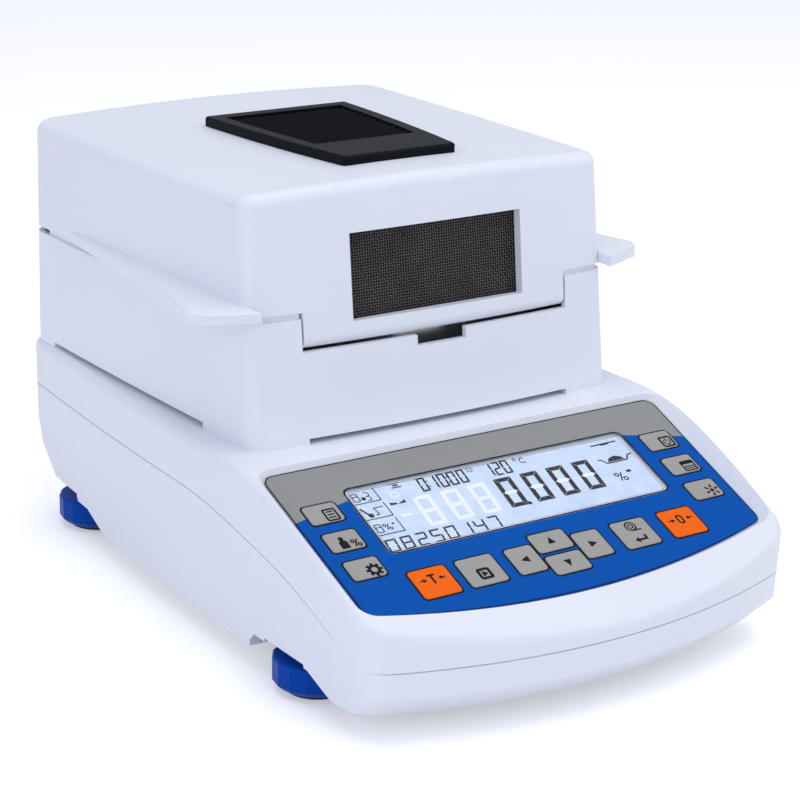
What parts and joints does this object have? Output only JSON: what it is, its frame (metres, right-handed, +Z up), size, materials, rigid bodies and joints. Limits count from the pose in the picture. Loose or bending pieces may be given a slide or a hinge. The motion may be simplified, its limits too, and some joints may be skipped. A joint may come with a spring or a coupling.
{
  "type": "moisture analyzer",
  "caption": "Bench moisture analyzer: balance base with sloping keypad, drying chamber, hinged heating lid with mesh window and vent, levelling feet.",
  "frame": {"origin": "middle of the footprint at the underside of the feet", "axes": "+Z up, -Y towards the keypad's user, +X to the user's right"},
  "size_m": [0.2196, 0.322, 0.19],
  "materials": {
    "casing_white": "fine satin",
    "overlay": "satin film",
    "window_clear": "clear",
    "key_grey": "satin film",
    "key_orange": "satin film",
    "lcd": "smooth",
    "board": "matt",
    "component": "matt",
    "aluminium": "machined",
    "steel": "brushed",
    "mirror_steel": "polished",
    "lamp_glass": "clear",
    "ceramic": "matt",
    "mesh": "satin",
    "black_plastic": "satin",
    "foot_blue": "satin",
    "rubber": "matt",
    "brass": "plain"
  },
  "bodies": {
    "base": {"base_bottom": "casing_white", "base_cover": "casing_white", "chamber_housing": "casing_white", "chamber_tray": "steel", "cover_screws": "steel", "display_window": "window_clear", "draft_shield": "steel", "foot_inserts": "brass", "hinge_brackets": "steel", "hinge_pins": "steel", "keypad_board": "board", "keypad_overlay": "overlay", "lcd_module": "lcd", "load_cell": "aluminium", "load_cell_mount": "aluminium", "main_board": "board", "pan_spindle": "steel", "pan_support": "steel", "power_inlet": "black_plastic", "power_supply": "component", "rear_panel": "black_plastic", "serial_ports": "steel", "temperature_sensor": "steel", "usb_ports": "steel"},
    "lid": {"lid_shell": "casing_white", "lid_liner": "steel", "reflector": "mirror_steel", "heater_lamps": "lamp_glass", "heater_sockets": "ceramic", "heater_guard": "steel", "window_mesh": "mesh", "window_glass": "window_clear", "top_grille": "black_plastic"},
    "pan": {"pan_handle": "steel", "sample_pan": "aluminium"},
    "key_arrow_down": {"key_arrow_down": "key_grey"},
    "key_arrow_left": {"key_arrow_left": "key_grey"},
    "key_arrow_right": {"key_arrow_right": "key_grey"},
    "key_arrow_up": {"key_arrow_up": "key_grey"},
    "key_enter": {"key_enter": "key_grey"},
    "key_left_lower": {"key_left_lower": "key_grey"},
    "key_left_middle": {"key_left_middle": "key_grey"},
    "key_left_upper": {"key_left_upper": "key_grey"},
    "key_right_lower": {"key_right_lower": "key_grey"},
    "key_right_middle": {"key_right_middle": "key_grey"},
    "key_right_upper": {"key_right_upper": "key_grey"},
    "key_start": {"key_start": "key_grey"},
    "key_tare": {"key_tare": "key_orange"},
    "key_zero": {"key_zero": "key_orange"},
    "foot_front_left": {"foot_pad_front_left": "rubber"},
    "foot_front_left_wheel": {"foot_wheel_front_left": "foot_blue"},
    "foot_front_right": {"foot_pad_front_right": "rubber"},
    "foot_front_right_wheel": {"foot_wheel_front_right": "foot_blue"},
    "foot_rear_left": {"foot_pad_rear_left": "rubber"},
    "foot_rear_left_wheel": {"foot_wheel_rear_left": "foot_blue"},
    "foot_rear_right": {"foot_pad_rear_right": "rubber"},
    "foot_rear_right_wheel": {"foot_wheel_rear_right": "foot_blue"}
  },
  "joints": [
    {"name": "lid_hinge", "type": "hinge", "parent": "base", "child": "lid", "pos_m": [0, 0.1531, 0.1385], "axis": [-1, 0, 0], "range_deg": [0, 80]},
    {"name": "pan_lift", "type": "slide", "parent": "base", "child": "pan", "axis": [0, 0, 1], "range_m": [0, 0.014]},
    {"name": "key_arrow_down_press", "type": "slide", "parent": "base", "child": "key_arrow_down", "axis": [0, 0.3778, -0.9259], "range_m": [0, 0.0005], "stiffness_N_per_m": 1500, "springref_m": -0.0005},
    {"name": "key_arrow_left_press", "type": "slide", "parent": "base", "child": "key_arrow_left", "axis": [0, 0.3778, -0.9259], "range_m": [0, 0.0005], "stiffness_N_per_m": 1500, "springref_m": -0.0005},
    {"name": "key_arrow_right_press", "type": "slide", "parent": "base", "child": "key_arrow_right", "axis": [0, 0.3778, -0.9259], "range_m": [0, 0.0005], "stiffness_N_per_m": 1500, "springref_m": -0.0005},
    {"name": "key_arrow_up_press", "type": "slide", "parent": "base", "child": "key_arrow_up", "axis": [0, 0.3778, -0.9259], "range_m": [0, 0.0005], "stiffness_N_per_m": 1500, "springref_m": -0.0005},
    {"name": "key_enter_press", "type": "slide", "parent": "base", "child": "key_enter", "axis": [0, 0.3778, -0.9259], "range_m": [0, 0.0005], "stiffness_N_per_m": 1500, "springref_m": -0.0005},
    {"name": "key_left_lower_press", "type": "slide", "parent": "base", "child": "key_left_lower", "axis": [0, 0.3778, -0.9259], "range_m": [0, 0.0005], "stiffness_N_per_m": 1500, "springref_m": -0.0005},
    {"name": "key_left_middle_press", "type": "slide", "parent": "base", "child": "key_left_middle", "axis": [0, 0.3778, -0.9259], "range_m": [0, 0.0005], "stiffness_N_per_m": 1500, "springref_m": -0.0005},
    {"name": "key_left_upper_press", "type": "slide", "parent": "base", "child": "key_left_upper", "axis": [0, 0.3778, -0.9259], "range_m": [0, 0.0005], "stiffness_N_per_m": 1500, "springref_m": -0.0005},
    {"name": "key_right_lower_press", "type": "slide", "parent": "base", "child": "key_right_lower", "axis": [0, 0.3778, -0.9259], "range_m": [0, 0.0005], "stiffness_N_per_m": 1500, "springref_m": -0.0005},
    {"name": "key_right_middle_press", "type": "slide", "parent": "base", "child": "key_right_middle", "axis": [0, 0.3778, -0.9259], "range_m": [0, 0.0005], "stiffness_N_per_m": 1500, "springref_m": -0.0005},
    {"name": "key_right_upper_press", "type": "slide", "parent": "base", "child": "key_right_upper", "axis": [0, 0.3778, -0.9259], "range_m": [0, 0.0005], "stiffness_N_per_m": 1500, "springref_m": -0.0005},
    {"name": "key_start_press", "type": "slide", "parent": "base", "child": "key_start", "axis": [0, 0.3778, -0.9259], "range_m": [0, 0.0005], "stiffness_N_per_m": 1500, "springref_m": -0.0005},
    {"name": "key_tare_press", "type": "slide", "parent": "base", "child": "key_tare", "axis": [0, 0.3778, -0.9259], "range_m": [0, 0.0005], "stiffness_N_per_m": 1500, "springref_m": -0.0005},
    {"name": "key_zero_press", "type": "slide", "parent": "base", "child": "key_zero", "axis": [0, 0.3778, -0.9259], "range_m": [0, 0.0005], "stiffness_N_per_m": 1500, "springref_m": -0.0005},
    {"name": "foot_front_left_height", "type": "slide", "parent": "base", "child": "foot_front_left", "axis": [0, 0, 1], "range_m": [-0.002, 0.002]},
    {"name": "foot_front_left_turn", "type": "hinge", "parent": "foot_front_left", "child": "foot_front_left_wheel", "pos_m": [-0.0855, -0.0803, 0], "axis": [0, 0, 1], "range_deg": [-720, 720]},
    {"name": "foot_front_right_height", "type": "slide", "parent": "base", "child": "foot_front_right", "axis": [0, 0, 1], "range_m": [-0.002, 0.002]},
    {"name": "foot_front_right_turn", "type": "hinge", "parent": "foot_front_right", "child": "foot_front_right_wheel", "pos_m": [0.0855, -0.0803, 0], "axis": [0, 0, 1], "range_deg": [-720, 720]},
    {"name": "foot_rear_left_height", "type": "slide", "parent": "base", "child": "foot_rear_left", "axis": [0, 0, 1], "range_m": [-0.002, 0.002]},
    {"name": "foot_rear_left_turn", "type": "hinge", "parent": "foot_rear_left", "child": "foot_rear_left_wheel", "pos_m": [-0.0769, 0.1253, 0], "axis": [0, 0, 1], "range_deg": [-720, 720]},
    {"name": "foot_rear_right_height", "type": "slide", "parent": "base", "child": "foot_rear_right", "axis": [0, 0, 1], "range_m": [-0.002, 0.002]},
    {"name": "foot_rear_right_turn", "type": "hinge", "parent": "foot_rear_right", "child": "foot_rear_right_wheel", "pos_m": [0.0769, 0.1253, 0], "axis": [0, 0, 1], "range_deg": [-720, 720]}
  ],
  "couplings": [
    {"joint": "foot_front_left_height", "follows": "foot_front_left_turn", "m_per_rad": 0.00015915},
    {"joint": "foot_front_right_height", "follows": "foot_front_right_turn", "m_per_rad": 0.00015915},
    {"joint": "foot_rear_left_height", "follows": "foot_rear_left_turn", "m_per_rad": 0.00015915},
    {"joint": "foot_rear_right_height", "follows": "foot_rear_right_turn", "m_per_rad": 0.00015915}
  ]
}
